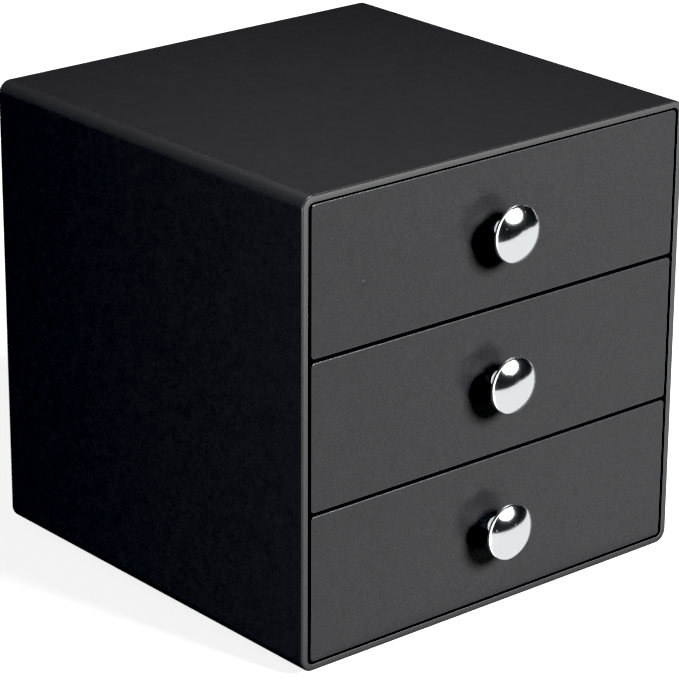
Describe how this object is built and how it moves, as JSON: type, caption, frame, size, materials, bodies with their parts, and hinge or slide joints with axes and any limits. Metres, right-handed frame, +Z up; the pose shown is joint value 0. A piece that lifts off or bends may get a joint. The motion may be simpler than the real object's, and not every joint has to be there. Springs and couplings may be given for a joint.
{
  "type": "desktop drawer organizer",
  "caption": "Black moulded cube desk organizer with flush pull-out drawers, each opened by a round chrome mushroom knob.",
  "frame": {"origin": "on the desk, under the middle of the closed organizer's box, knobs included", "axes": "+Z up; +X to the right for someone facing the drawers; the drawers open towards -Y"},
  "size_m": [0.165, 0.1744, 0.163],
  "materials": {
    "black_plastic": "black moulded plastic with a fine satin grain",
    "chrome": "bright polished plating",
    "steel": "plain zinc-plated screw",
    "foot_rubber": "soft dark rubber"
  },
  "bodies": {
    "housing": {"housing": "black_plastic", "foot_front_left": "foot_rubber", "foot_front_right": "foot_rubber", "foot_back_left": "foot_rubber", "foot_back_right": "foot_rubber"},
    "drawer_bottom": {"drawer_bottom": "black_plastic", "knob_bottom": "chrome", "knob_screw_bottom": "steel"},
    "drawer_middle": {"drawer_middle": "black_plastic", "knob_middle": "chrome", "knob_screw_middle": "steel"},
    "drawer_top": {"drawer_top": "black_plastic", "knob_top": "chrome", "knob_screw_top": "steel"}
  },
  "joints": [
    {"name": "drawer_bottom_slide", "type": "slide", "parent": "housing", "child": "drawer_bottom", "axis": [0, -1, 0], "range_m": [0, 0.12]},
    {"name": "drawer_middle_slide", "type": "slide", "parent": "housing", "child": "drawer_middle", "axis": [0, -1, 0], "range_m": [0, 0.12]},
    {"name": "drawer_top_slide", "type": "slide", "parent": "housing", "child": "drawer_top", "axis": [0, -1, 0], "range_m": [0, 0.12]}
  ]
}
